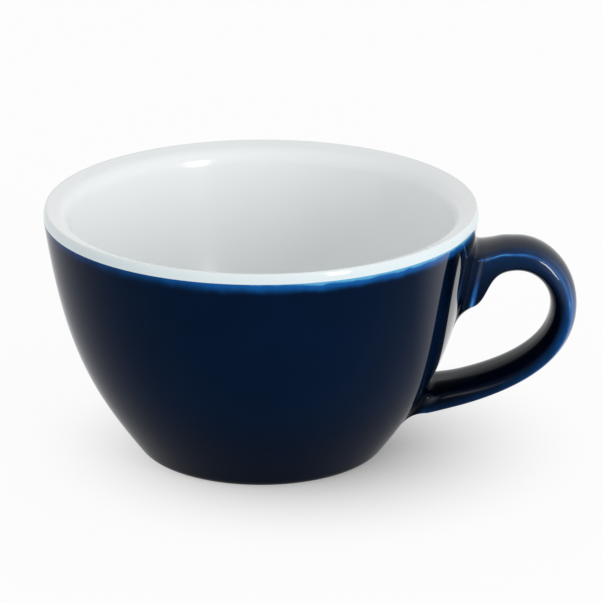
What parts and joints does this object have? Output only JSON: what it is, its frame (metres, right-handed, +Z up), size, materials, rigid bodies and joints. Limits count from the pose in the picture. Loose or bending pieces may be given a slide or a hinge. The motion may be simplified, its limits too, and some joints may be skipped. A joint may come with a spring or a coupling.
{
  "type": "coffee cup",
  "caption": "Low wide porcelain cup on a foot ring with an ear handle, white glaze inside and over the rim, dark blue glaze outside, for a milky coffee.",
  "frame": {"origin": "on the table, under the middle of the overall length; the bowl's axis stands at x = -10.3 mm", "axes": "+X from the bowl towards the handle, +Z up"},
  "size_m": [0.1106, 0.09, 0.0538],
  "materials": {
    "porcelain": "matte",
    "joint_slip": "matte",
    "white_glaze": "gloss",
    "blue_glaze": "gloss"
  },
  "bodies": {
    "root": {"cup_body": "porcelain", "handle": "porcelain", "upper_joint_slip": "joint_slip", "lower_joint_slip": "joint_slip", "inner_glaze": "white_glaze", "outer_glaze": "blue_glaze", "handle_glaze": "blue_glaze", "base_glaze": "blue_glaze"}
  },
  "joints": []
}
